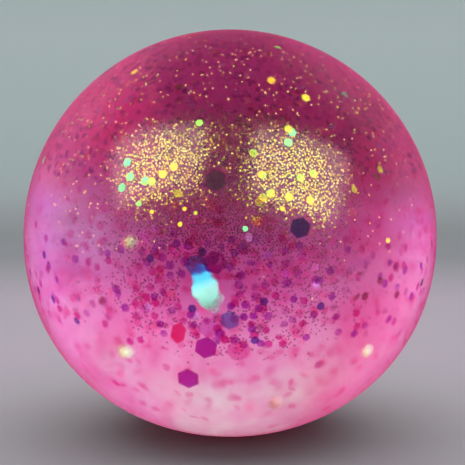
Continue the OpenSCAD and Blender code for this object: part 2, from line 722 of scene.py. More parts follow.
@dataclass
class Plug:
    """Soft stopper in the filler hole, barbed behind the wall.

    Attributes:
        flange_r: Radius of the flange.
        flange_t: Thickness of the flange.
        stem_r: Radius of the stem.
        barb_r: Radius of the barb.
        barb_h: Height of the barb.
        tip_r: Radius of the barb's tip.
        recess: Height of the flange above the foot's plane.
        gap: Clearance between the barb and the wall.
        edge_r: Rounding of its edges.
        segments: Faces round the axis.
        rubber: Its finish.
    """

    flange_r: float = 5.0 * MM
    flange_t: float = 1.0 * MM
    stem_r: float = 3.0 * MM
    barb_r: float = 4.0 * MM
    barb_h: float = 2.4 * MM
    tip_r: float = 2.2 * MM
    recess: float = 0.3 * MM
    gap: float = 0.05 * MM
    edge_r: float = 0.18 * MM
    segments: int = 64
    rubber: ClearRubber = ClearRubber(
        "plug_rubber", (1.0, 0.86, 0.93), (1.0, 0.70, 0.84), (0.80, 0.10, 0.45), 60.0,
        smooth=(0.15, 0.25), polish=0.0,
    )

    def build(self) -> Piece:
        """Makes the plug from a disc, drawn up level by level.

        Returns:
            The finished piece.
        """
        Bench.clear()
        bpy.ops.mesh.primitive_circle_add(
            vertices=self.segments,
            radius=self.flange_r,
            fill_type="NGON",
            location=(0, 0, self.recess),
        )
        piece = Bench.fresh("filler_stopper")
        Bench.select(piece)
        neck = self.recess + self.flange_t
        barb = FORM.wall + self.gap
        Bench.level(self.flange_t, 1.0, neck)
        Bench.level(0.0, self.stem_r / self.flange_r, neck)
        Bench.level(barb - neck, 1.0, barb)
        Bench.level(0.0, self.barb_r / self.stem_r, barb)
        Bench.level(self.barb_h / 4, 1.0, barb + self.barb_h / 4)
        Bench.level(self.barb_h * 3 / 4, self.tip_r / self.barb_r, barb + self.barb_h)
        bpy.ops.object.mode_set(mode="OBJECT")
        Bench.close_up(piece)
        edge = piece.modifiers.new("soft_edges", "BEVEL")
        edge.width = self.edge_r
        edge.segments = 2
        edge.angle_limit = math.radians(40)
        bpy.ops.object.modifier_apply(modifier=edge.name)
        return piece

    def dress(self, piece: Piece) -> None:
        """Gives the plug its rubber and hangs it on the frame."""
        piece.data.materials.append(self.rubber.material())
        Bench.seat(piece, Slot.PLUG, ("fill_plug",))


@dataclass
class Gel:
    """Gel that fills the skin and flows round the plug's barb.

    Attributes:
        well_r: Radius of the well that the barb leaves.
        well_z: Height of the well's roof.
        gel: Its finish.
    """

    well_r: float = 4.3 * MM
    well_z: float = 5.3 * MM
    gel: ClearGel = ClearGel("clear_pink_gel", (0.937, 0.04, 0.61), 25.0)

    def build(self) -> Piece:
        """Makes the gel as one closed solid.

        Returns:
            The finished piece.
        """
        inset = FORM.wall + FORM.gel_gap
        piece = Skin(segments=96, rings=64).cup("clear_gel", inset, self.well_r)
        Bench.level(self.well_z - inset, 0.6, self.well_z)
        bpy.ops.mesh.edge_face_add()
        bpy.ops.object.mode_set(mode="OBJECT")
        Bench.close_up(piece)
        return piece

    def dress(self, piece: Piece) -> None:
        """Gives the gel its colour and hangs it on the frame."""
        piece.data.materials.append(self.gel.material())
        Bench.seat(piece, Slot.GEL, ("gel_filling",))


# The glitter


@dataclass(frozen=True)
class FlakeCut:
    """One punched six-sided flake, modelled once and copied.

    Attributes:
        width: Width across the flats.
        length: Length from point to point.
        thickness: Thickness of the film.
        curl: How far the points bend up.
        fine: Whether the face is divided so that it can curl.
        rounding: How far back the corners are rounded.
        skew: How far the outline leans along its length.
    """

    width: float
    length: float
    thickness: float
    curl: float = 0.0
    fine: bool = False
    rounding: float = 0.0
    skew: float = 0.0

    def model(self) -> tuple[np.ndarray, list[tuple[int, ...]]]:
        """Models the flake flat at the origin.

        Returns:
            Its points and its faces.
        """
        Bench.clear()
        bpy.ops.mesh.primitive_circle_add(vertices=6, radius=1.0, fill_type="NGON")
        piece = bpy.context.object
        points = Bench.points(piece)
        span = np.abs(points).max(0)
        tall = 0 if span[0] > span[1] else 1
        points[:, tall] *= self.length / 2 / span[tall]
        points[:, 1 - tall] *= self.width / 2 / span[1 - tall]
        if tall == 1:
            points[:, [0, 1]] = points[:, [1, 0]]
        points[:, 0] += self.skew * points[:, 1]
        Bench.put(piece, points)
        Bench.select(piece)
        if self.rounding:
            bpy.ops.mesh.bevel(offset=self.rounding, segments=3, affect="VERTICES")
            bpy.ops.mesh.select_all(action="SELECT")
        if self.fine:
            bpy.ops.mesh.poke()
            bpy.ops.mesh.subdivide(number_cuts=1)
        if self.thickness:
            bpy.ops.mesh.extrude_region_move(
                TRANSFORM_OT_translate={"value": (0, 0, self.thickness)}
            )
        bpy.ops.object.mode_set(mode="OBJECT")
        points = Bench.points(piece)
        points[:, 2] -= self.thickness / 2
        points[:, 2] += self.curl * (2 * points[:, 0] / self.length) ** 2
        Bench.put(piece, points)
        Bench.select(piece)
        bpy.ops.mesh.normals_make_consistent(inside=False)
        bpy.ops.object.mode_set(mode="OBJECT")
        points = Bench.points(piece)
        faces = [tuple(face.vertices) for face in piece.data.polygons]
        mesh = piece.data
        bpy.data.objects.remove(piece)
        bpy.data.meshes.remove(mesh)
        return points, faces


@dataclass(frozen=True)
class Spot:
    """A flake with its own place in the ball, seen from the front.

    Attributes:
        side: Angle to the right of the front, in degrees.
        rise: Angle above the widest level, in degrees.
        depth: Depth under the outside, in millimetres.
        turn: Turn in the flake's own plane, in degrees.
        face: Side and rise that the flake faces, or nothing to lie along the skin.
        size: Factor on the flake's size.
    """

    side: float
    rise: float
    depth: float
    turn: float = 0.0
    face: tuple[float, float] | None = None
    size: float = 1.0


FRONT_OFFCUT = Spot(-6, -8, 4.2, 112, (-15, 17), 1.25)
DARK_SEQUIN = Spot(19, 8, 3.9, 15, (13, -8), 0.88)
SMOKY_SEQUIN = Spot(-4, 21, 4.2, 40, (-3, 2), 0.88)
RED_SEQUIN = Spot(-15, -21, 4.4, 80, (44, -8), 0.92)
LOW_SEQUIN = Spot(-14, -36, 3.9, 30, (-4, -14), 0.94)
PURPLE_SEQUIN = Spot(-7, -25, 3.9, 20, (-6, 2), 0.94)
LILAC_SEQUIN = Spot(-6, -20, 5.5, 10, None, 0.9)
BLUE_SEQUIN = Spot(0, -18, 6.0, 25, None, 0.8)
CLEAR_VIEWS = (
    (FRONT_OFFCUT, 7.5),
    *((spot, 3.4) for spot in (DARK_SEQUIN, SMOKY_SEQUIN, RED_SEQUIN, LOW_SEQUIN, PURPLE_SEQUIN)),
    *((spot, 2.8) for spot in (LILAC_SEQUIN, BLUE_SEQUIN)),
)


@dataclass(frozen=True)
class Drift:
    """Flakes that have gathered about one place.

    Attributes:
        side: Angle to the right of the front, in degrees.
        rise: Angle above the widest level, in degrees.
        spread: How far from the place they have spread, in degrees.
        count: How many there are.
        tall: Factor on how far they have spread up and down.
    """

    side: float
    rise: float
    spread: float
    count: int
    tall: float = 1.0


# Spreads of how far flakes sink below the middle, of a drift's edge and of the flakes' sizes
SINK_SPREAD, EDGE_SPREAD, SIZE_SPREAD = 0.09, 0.12, 0.06
# Limits of a flake's rise in radians and of its size, and the most lean of a deep one in degrees
RISE_LIMITS, SIZE_LIMITS, DEEP_LEAN = (-1.4, 1.57), (0.8, 1.25), 75
# Rise of the settled belt and its spread
BELT_RISE, BELT_SPREAD = math.radians(-10), math.radians(8)
# Side and rise of the middle of the front view, and of the back wall seen through the ball
FRONT, BACK = (0, -12), (180, -6)
# Depth down to which a flake would hide a chosen one
HIDING_DEPTH = 12 * MM
# Where a flake faces that catches the light: share of its own side or rise, and an angle on top
CATCH_SIDE, CATCH_RISE = (0.26, math.radians(14)), (0.3, math.radians(16))


@dataclass
class FlakeCloud:
    """Flakes of one kind and tint, hanging in the gel.

    Attributes:
        name: Name of the piece.
        nodes: The nodes that it stands for.
        slot: The record's slot of its film.
        cut: The flake.
        film: Its finish.
        count: Flakes scattered in the gel.
        shallow: Least and most depth of the flakes near the skin.
        seed: Seed of the scatter.
        spots: Flakes with their own places.
        drifts: Flakes that have gathered.
        deep_share: Share of flakes that hang deeper.
        lean: Spread of the lean from the skin, in degrees.
        spread: Least distance between two flakes, or 0.
        belt: Share of flakes that have settled in a belt below the middle.
        lowest: Rise that few flakes sink below, in degrees.
        keep_off: Angle from the front within which no scattered flake hangs near the skin.
        keep_off_back: Angle from the back within which none does, as the ball enlarges it.
        pick: First of the places that it takes, and the step to the next.
        catches: Whether its flakes have turned so that they catch the light in front.
    """

    name: str
    nodes: tuple[str, ...]
    slot: Slot
    cut: FlakeCut
    film: ShiftFilm
    count: int
    shallow: tuple[float, float]
    seed: int = 0
    spots: tuple[Spot, ...] = ()
    drifts: tuple[Drift, ...] = ()
    deep_share: float = 0.0
    lean: float = 9.0
    spread: float = 0.0
    belt: float = 0.0
    lowest: float = -50.0
    keep_off: float = 0.0
    keep_off_back: float = 24.0
    pick: tuple[int, int] = (0, 1)
    catches: bool = False

    @staticmethod
    def arms(side: np.ndarray, rise: np.ndarray) -> np.ndarray:
        """Directions out of the ball's middle, one a row, for sides and rises in radians."""
        flat = np.cos(rise)
        return np.stack([np.sin(side) * flat, -np.cos(side) * flat, np.sin(rise)], 1)

    def scatter(self) -> tuple[np.ndarray, ...]:
        """Finds places for the scattered flakes.

        Returns:
            Directions, depths, turns, leans, sizes and faced directions.
        """
        rng = np.random.default_rng(self.seed)
        tries = self.count * 3
        side = rng.uniform(-math.pi, math.pi, tries)
        low = math.sin(math.radians(self.lowest))
        rise = np.arcsin(rng.uniform(low, 1.0, tries))
        sunk = rise + rng.normal(0, SINK_SPREAD, tries)
        rise = np.where(rise < 0, sunk, rise).clip(*RISE_LIMITS)
        settled = rng.normal(BELT_RISE, BELT_SPREAD, tries)
        in_belt = rng.uniform(0, 1, tries) < self.belt
        rise = np.where(in_belt, settled, rise)
        first = 0
        for drift in self.drifts:
            last = first + drift.count
            away = np.sqrt(rng.uniform(0, 1, drift.count))
            away += rng.normal(0, EDGE_SPREAD, drift.count)
            away *= math.radians(drift.spread)
            about = rng.uniform(-math.pi, math.pi, drift.count)
            side[first:last] = math.radians(drift.side) + away * np.cos(about)
            rise[first:last] = math.radians(drift.rise) + away * np.sin(about) * drift.tall
            first = last
        arms = self.arms(side, rise)
        deep = rng.uniform(0, 1, tries) < self.deep_share
        near = rng.uniform(*self.shallow, tries)
        share = rng.uniform(0.02, 1, tries) ** (1 / 3)
        inner = FORM.radius - (FORM.radius - self.shallow[1]) * share
        depth = np.where(deep, inner, near)
        tumbled = rng.uniform(-DEEP_LEAN, DEEP_LEAN, tries)
        lean = np.where(deep, tumbled, rng.normal(0, self.lean, tries))
        kept_clear = [((spot.side, spot.rise), reach) for spot, reach in CLEAR_VIEWS]
        kept_clear += [(FRONT, self.keep_off), (BACK, self.keep_off_back)]
        hides = np.zeros(tries, bool)
        for (where, height), reach in kept_clear:
            centre = self.arms(*np.radians([[where], [height]]))[0]
            hides |= (arms @ centre > math.cos(math.radians(reach))) & (depth < HIDING_DEPTH)
        kept = self.spaced(arms * (FORM.radius - depth)[:, None], hides)
        kept = kept[self.pick[0] :: self.pick[1]]
        turn = rng.uniform(0, 360, tries)
        size = rng.normal(1.0, SIZE_SPREAD, tries).clip(*SIZE_LIMITS)
        faced = arms
        if self.catches:
            turned = side * CATCH_SIDE[0] + np.sign(side) * CATCH_SIDE[1]
            faced = self.arms(turned, rise * CATCH_RISE[0] + CATCH_RISE[1])
        return arms[kept], depth[kept], turn[kept], lean[kept], size[kept], faced[kept]

    def spaced(self, places: np.ndarray, hides: np.ndarray) -> list[int]:
        """Picks places that keep their distance from each other.

        Args:
            places: Places to pick from, one a row.
            hides: Which of them would hide a chosen flake.

        Returns:
            Rows of the places that are picked.
        """
        rows = [i for i in range(len(places)) if not hides[i]]
        if not self.spread:
            return rows[: self.count]
        kept: list[int] = []
        taken: dict[tuple[int, ...], list[tuple[float, ...]]] = {}
        cells = np.floor(places / self.spread).astype(int)
        around = list(product((-1, 0, 1), repeat=3))
        for i in rows:
            x, y, z = (int(c) for c in cells[i])
            here = tuple(float(c) for c in places[i])
            near = (taken.get((x + a, y + b, z + c), ()) for a, b, c in around)
            if any(math.dist(here, other) < self.spread for cell in near for other in cell):
                continue
            taken.setdefault((x, y, z), []).append(here)
            kept.append(i)
            if len(kept) == self.count:
                break
        return kept

    def chosen(self) -> tuple[np.ndarray, ...]:
        """Lists the flakes with their own places.

        Returns:
            Directions, depths, turns, leans, sizes and faced directions.
        """
        rows = np.array(
            [(s.side, s.rise, s.depth, s.turn, s.size, *(s.face or (s.side, s.rise)))
             for s in self.spots], float
        ).reshape(-1, 7)
        angles = np.radians(rows)
        arms = self.arms(angles[:, 0], angles[:, 1])
        faced = self.arms(angles[:, 5], angles[:, 6])
        return arms, rows[:, 2] * MM, rows[:, 3], rows[:, 3] * 0, rows[:, 4], faced

    def build(self) -> Piece:
        """Copies the flake to all its places.

        Returns:
            The finished piece.
        """
        points, faces = self.cut.model()
        arms, depth, turn, lean, size, faced = (
            np.concatenate(pair) for pair in zip(self.scatter(), self.chosen())
        )
        rise = np.arcsin(arms[:, 2].clip(-1, 1))
        centre = arms * (FORM.outside(rise) - depth)[:, None] + np.array([0, 0, FORM.middle])
        along = np.cross(np.array([0.0, 0.0, 1.0]), faced)
        along /= np.linalg.norm(along, axis=1, keepdims=True) + 1e-12
        across = np.cross(faced, along)
        t, b = np.radians(turn)[:, None], np.radians(lean)[:, None]
        x_axis = along * np.cos(t) + across * np.sin(t)
        y_flat = across * np.cos(t) - along * np.sin(t)
        y_axis = y_flat * np.cos(b) + faced * np.sin(b)
        z_axis = faced * np.cos(b) - y_flat * np.sin(b)
        turned = np.stack([x_axis, y_axis, z_axis], 2)
        laid = np.einsum("nij,kj->nki", turned, points) * size[:, None, None]
        laid += centre[:, None, :]
        step = len(points)
        all_faces = [
            tuple(i + n * step for i in face) for n in range(len(arms)) for face in faces
        ]
        mesh = bpy.data.meshes.new(self.name)
        mesh.from_pydata(laid.reshape(-1, 3).tolist(), [], all_faces)
        mesh.update()
        if self.film.soft:
            shares = points / np.abs(points).max(0) * (1, 1, 0)
            flake = mesh.attributes.new("flake", "FLOAT_VECTOR", "POINT")
            flake.data.foreach_set("vector", np.tile(shares, (len(arms), 1)).ravel())
        piece = bpy.data.objects.new(self.name, mesh)
        bpy.context.collection.objects.link(piece)
        return piece

    def dress(self, piece: Piece) -> None:
        """Gives the flakes their film and hangs them on the frame."""
        piece.data.materials.append(self.film.material())
        Bench.seat(piece, self.slot, self.nodes)


GOLD: Colour = (1.0, 0.80, 0.05)
LEMON: Colour = (0.82, 0.92, 0.03)
LIME: Colour = (0.36, 1.0, 0.06)
MINT: Colour = (0.12, 1.0, 0.42)
ROSE: Colour = (1.0, 0.35, 0.62)
AQUA: Colour = (0.28, 1.0, 0.74)
CYAN: Colour = (0.05, 0.80, 0.95)
FROST: Colour = (0.60, 1.0, 0.70)
CREAM: Colour = (0.85, 0.95, 0.30)
SPRING: Colour = (0.60, 1.0, 0.35)
PEACH: Colour = (1.0, 0.80, 0.45)
LAVENDER: Colour = (0.62, 0.45, 1.0)
OLD_GOLD: Colour = (0.68, 0.64, 0.01)
# Sides on which glitter has gathered
SIDES = (0, 120, -120)


@dataclass
class Glitter:
    """All the glitter in the gel: large hexagons, dots, fine grains and film offcuts."""

    large: FlakeCut = FlakeCut(3.2 * MM, 3.7 * MM, 0.06 * MM, 0.10 * MM, True)
    dot: FlakeCut = FlakeCut(1.18 * MM, 1.36 * MM, 0.05 * MM)
    chip: FlakeCut = FlakeCut(0.85 * MM, 1.0 * MM, 0.0)
    grain: FlakeCut = FlakeCut(0.24 * MM, 0.28 * MM, 0.0)
    speck: FlakeCut = FlakeCut(0.18 * MM, 0.21 * MM, 0.0)
    offcut: FlakeCut = FlakeCut(3.9 * MM, 6.8 * MM, 0.06 * MM, 0.10 * MM, True, 0.7 * MM, 0.35)

    @staticmethod
    def cloud(
        kind: str, slot: Slot, name: str, cut: FlakeCut, film: ShiftFilm, *rest: object,
        **named: object,
    ) -> FlakeCloud:
        """Makes a cloud that stands for the nodes of its kind in both halves of the ball."""
        nodes = (f"{kind}_upper", f"{kind}_lower")
        return FlakeCloud(name, nodes, slot, cut, film, *rest, **named)

    def sequins(
        self, slot: Slot, tint: str, through: Colour, glints: tuple[Colour, ...], mirror: float,
        count: int, seed: int, *spots: Spot,
    ) -> FlakeCloud:
        """Scatters large hexagons of one tint, out of the front view but for the chosen ones.

        Args:
            slot: The record's slot.
            tint: Name of the tint.
            through: Colour of light that goes through.
            glints: The colours that they mirror.
            mirror: Share of light that they mirror.
            count: How many are scattered.
            seed: Seed of the scatter.
            *spots: The chosen ones.

        Returns:
            The cloud.
        """
        return self.cloud(
            f"hex_{slot.name.lower()}", slot, f"{tint}_hexagons", self.large,
            ShiftFilm(f"{tint}_film", through, glints, mirror),
            count, (3.9 * MM, 6.5 * MM), seed, spots,
            spread=5 * MM, belt=0.4, lowest=-60, keep_off=100, keep_off_back=40,
        )

    def hexagons(self) -> list[FlakeCloud]:
        """Lists the clouds of large hexagons and offcuts.

        Returns:
            One cloud a tint.
        """
        magenta, violet, indigo = Slot.MAGENTA, Slot.VIOLET, Slot.INDIGO
        dark_spot, pale_spot = Spot(-4, -1, 5.0, 45, None, 0.95), Spot(-9, -2, 5.2, 5, None, 0.9)
        tints = (
            (magenta, "magenta", (1.0, 0.32, 0.60), (ROSE, GOLD), 0.10, 18, 101, RED_SEQUIN),
            (magenta, "rose", (1.0, 0.66, 0.88), (ROSE, CREAM), 0.06, 16, 151,
             Spot(3, -30, 8.0, 10)),
            (violet, "violet", (0.77, 0.22, 0.76), (ROSE, LEMON), 0.10, 14, 103,
             LOW_SEQUIN, PURPLE_SEQUIN, dark_spot),
            (violet, "lilac", (0.95, 0.78, 1.0), (ROSE, LEMON), 0.06, 10, 167, LILAC_SEQUIN),
            (indigo, "indigo", (0.30, 0.40, 0.68), (LEMON, MINT), 0.10, 10, 107, DARK_SEQUIN),
            (indigo, "blue", (0.60, 0.82, 1.0), (CYAN, MINT), 0.10, 8, 173, BLUE_SEQUIN, pale_spot),
            (indigo, "smoky", (0.56, 0.86, 0.70), (LEMON, GOLD), 0.10, 6, 179, SMOKY_SEQUIN),
        )
        film = ShiftFilm(
            "turquoise_film", (0.80, 0.98, 1.0), (AQUA, AQUA, CYAN), 0.70, 0.3, soft=0.25
        )
        offcuts = self.cloud(
            "film_flakes", Slot.TURQUOISE, "turquoise_offcuts", self.offcut, film,
            0, (10 * MM, 15 * MM), 109,
            (FRONT_OFFCUT, Spot(115, 15, 8.0, 40), Spot(125, -30, 9.0, 70),
             Spot(150, -45, 8.0, 10), Spot(-140, 32, 9.0, 100), Spot(-115, -12, 8.0, 20),
             Spot(-130, 60, 10.0, 60), Spot(128, 55, 9.0, 150)),
        )
        return [*(self.sequins(*tint) for tint in tints), offcuts]

    def dots(self) -> list[FlakeCloud]:
        """Lists the clouds of dots.

        Returns:
            One cloud a tint.
        """
        layer = (2.95 * MM, 3.2 * MM)
        pink, purple, gold = (
            (f"dot_{slot.name.lower()}", slot) for slot in (Slot.PINK, Slot.PURPLE, Slot.GOLD)
        )
        gathered = {
            "drifts": tuple(
                Drift(side, -8, 25, count, 0.68) for side, count in zip(SIDES, (100, 60, 60))
            ),
            "deep_share": 0.1, "spread": 1.3 * MM, "belt": 1.0,
        }
        shades = (ROSE, LAVENDER)
        return [
            self.cloud(
                *pink, "pink_dots", self.dot,
                ShiftFilm("pink_film", (1.0, 0.44, 0.82), shades, 0.12, faint=(1.0, 0.90, 1.0)),
                340, layer, 113, **gathered,
            ),
            self.cloud(
                *pink, "blush_dots", self.dot,
                ShiftFilm("blush_film", (1.0, 0.74, 0.89), (ROSE, CREAM), 0.04),
                1300, (4 * MM, 16 * MM), 163,
                deep_share=0.2, lean=40, spread=1.5 * MM, lowest=-80, keep_off_back=0.0,
            ),
            self.cloud(
                *purple, "purple_dots", self.dot,
                ShiftFilm("purple_film", (0.82, 0.42, 0.95), shades, 0.12, faint=(0.95, 0.78, 1.0)),
                260, layer, 127, **gathered,
            ),
            self.cloud(
                *purple, "mauve_chips", self.chip,
                ShiftFilm("mauve_film", (0.58, 0.42, 0.70), shades, 0.03, faint=(0.86, 0.74, 0.92)),
                2600, (3.4 * MM, 6.5 * MM), 197, lean=45, spread=0.7 * MM, lowest=20,
            ),
            self.cloud(
                *purple, "inky_dots", self.dot,
                ShiftFilm("inky_film", (0.50, 0.42, 0.86), (LEMON, MINT), 0.10),
                24, layer, 181,
                (Spot(9, -11, 3.1), Spot(7, -22, 3.1, 20), Spot(-21, 0, 3.1), Spot(-7, 2, 3.1, 10),
                 Spot(25, -13, 3.1, 30), Spot(-10, -13, 3.1)),
                spread=4 * MM, belt=0.6, lowest=-40, keep_off=40,
            ),
            self.cloud(
                *gold, "gold_dots", self.dot,
                ShiftFilm("gold_film", (0.95, 0.50, 0.85), (GOLD, LEMON, LIME), 0.36, 0.12, 420),
                40, layer, 131,
                (
                    Spot(-19, 22, 3.1), Spot(-16, 24, 3.1, 20), Spot(-22, 20, 3.1, 10),
                    Spot(-14, 17, 3.1, 10), Spot(19, 35, 3.1, 30, (18, 25)), Spot(7, 28, 3.1),
                    Spot(9, 22, 3.1, 20), Spot(20, 21, 3.1, 40), Spot(24, 22, 3.1),
                    Spot(9, 16, 3.1, 30), Spot(8, 15, 3.3), Spot(11, 17, 3.1, 15),
                    Spot(16, 16, 3.1), Spot(22, 15, 3.1, 20), Spot(19, 53, 4.0, 0, (19, 31)),
                    Spot(31, 46, 4.0, 20, (21, 29)), Spot(-13, 9, 3.1, 0, (-17, 21), 0.55),
                    Spot(-9, 12, 3.1, 30, (-16, 22), 0.45), Spot(-12, 13, 3.1, 0, (-17, 22), 0.5),
                    Spot(-21, 12, 3.1, 10, (-19, 22), 0.5), Spot(14, 13, 3.1, 20, (17, 20), 0.6),
                    Spot(47, 3, 3.1, 0, (26, 17), 0.6),
                ),
                deep_share=0.2, spread=1.4 * MM, belt=0.2, lowest=-40,
            ),
            self.cloud(
                *gold, "mint_dots", self.dot,
                ShiftFilm("mint_film", (0.6, 0.9, 0.85), (MINT, LIME), 0.45, 0.12, 420),
                12, layer, 191,
                (
                    Spot(-31, 25, 3.1, 15), Spot(-29, 21, 3.1), Spot(-31, 18, 3.1, 30),
                    Spot(-24, 20, 3.1, 40), Spot(-10, 37, 3.1, 0, (-17, 28), 0.8),
                    Spot(20, 34, 3.2, 0, (18, 25)), Spot(18, 31, 3.1, 25, (18, 24)),
                    Spot(-25, 14, 3.1, 0, (-20, 23), 0.6), Spot(4, 8, 3.1, 0, (14, 19), 0.6),
                ),
                spread=4 * MM, belt=0.2, lowest=-40, keep_off=60,
            ),
            self.cloud(
                *gold, "pale_flecks", self.large,
                ShiftFilm("pale_film", (1.0, 0.9, 0.95), (SPRING, FROST), 0.75, 0.3, soft=0.85),
                0, layer, 157,
                (Spot(-35, -29, 5.0, 10, (-25, 8), 1.05), Spot(50, -30, 5.0, 30, (29, 6), 0.85),
                 Spot(28, -57, 9.0, 20, (22, 0), 0.9), Spot(-28, 4, 5.0, 0, (-31, 25), 0.8),
                 Spot(140, 20, 9.0), Spot(-150, -30, 9.0), Spot(100, -40, 9.0)),
            ),
            self.cloud(
                *purple, "lavender_flecks", self.large,
                ShiftFilm("lavender_film", (0.95, 0.9, 1.0), (LAVENDER,) * 2, 0.22, 0.3, soft=0.8),
                0, layer, 193,
                (Spot(-22, -13, 3.1, 0, (-20, 15), 0.55), Spot(-9, -15, 3.1, 0, (-15, 14), 0.6),
                 Spot(23, -7, 3.1, 0, (19, 15), 0.55), Spot(150, -10, 3.1), Spot(-100, 5, 3.1)),
            ),
        ]

    def grains(self) -> list[FlakeCloud]:
        """Lists the clouds of fine glitter.

        Returns:
            A warm, a pale, a stray and a sparkling cloud.
        """
        fine = ("fine_glitter", Slot.FINE)
        dusk = (0.42, 0.10, 0.42)
        swarms = tuple(
            Drift(side, rise, 34, count, tall)
            for rise, count, tall in ((21, 11000, 0.54), (-4, 1500, 0.65))
            for side in SIDES
        )
        patches = [
            self.cloud(
                *fine, f"fine_{tint}_glitter", self.grain,
                ShiftFilm(f"fine_{tint}_film", dusk, glints, 0.6, 0.15, 900),
                13000, (3.25 * MM, 3.5 * MM), 137,
                drifts=swarms, lean=3, spread=0.32 * MM, lowest=-20, pick=(first, 2),
            )
            for first, tint, glints in ((0, "gold", (OLD_GOLD, LEMON)), (1, "pale", (LEMON, CREAM)))
        ]
        stray = self.cloud(
            *fine, "stray_glitter", self.speck,
            ShiftFilm("stray_film", dusk, (GOLD, CREAM), 0.8, 0.15, 900),
            1600, (2.9 * MM, 4.5 * MM), 149, deep_share=0.1, lean=24, lowest=-30,
        )
        sparkling = self.cloud(
            *fine, "sparkling_glitter", self.speck,
            ShiftFilm("sparkling_film", (1.0, 0.8, 0.9), (PEACH, GOLD), 0.6, 0.15, 900),
            360, (2.9 * MM, 4.0 * MM), 211, lowest=-30, catches=True,
            drifts=(
                Drift(0, 50, 42, 190, 0.5), Drift(-45, 16, 15, 105, 1.3),
                Drift(48, 18, 14, 40, 1.3), Drift(0, 4, 40, 25, 0.2),
            ),
        )
        return [*patches, stray, sparkling]


# The studio


class Reach(Enum):
    """What a light is seen by."""

    FLOOR = "floor and wall"
    BALL = "skin and flakes"
    FLAKES = "flakes"


@dataclass
class Softbox:
    """A rectangular soft light, placed by its direction from the ball as the camera sees it.

    Attributes:
        name: Name of the light.
        right: Share of the direction to the camera's right.
        up: Share of the direction upwards in the picture.
        back: Share of the direction towards the camera.
        width: Width of the light.
        height: Height of the light.
        glow: Brightness of its face.
        roll: Turn about its own axis, in degrees.
        reach: What sees it.
        far: Distance from the ball.
    """

    name: str
    right: float
    up: float
    back: float
    width: float
    height: float
    glow: float
    roll: float = 0.0
    reach: Reach = Reach.BALL
    far: float = 0.6

    def build(self, camera: Piece, target: Vector) -> None:
        """Hangs the light.

        Args:
            camera: The camera whose view gives the direction.
            target: What the light points at.
        """
        data = bpy.data.lights.new(self.name, "AREA")
        data.shape = "RECTANGLE"
        data.size, data.size_y = self.width, self.height
        data.energy = self.glow * math.pi * self.width * self.height
        light = bpy.data.objects.new(self.name, data)
        bpy.context.collection.objects.link(light)
        way = camera.rotation_euler.to_matrix() @ Vector((self.right, self.up, self.back))
        light.location = target + way.normalized() * self.far
        aim = (light.location - target).to_track_quat("Z", "Y")
        turn = Quaternion((0, 0, 1), math.radians(self.roll))
        light.rotation_euler = (aim @ turn).to_euler()
        light.visible_camera = False
        light.visible_diffuse = self.reach is Reach.FLOOR
        light.visible_glossy = self.reach is Reach.BALL
        light.visible_transmission = self.reach is not Reach.FLOOR


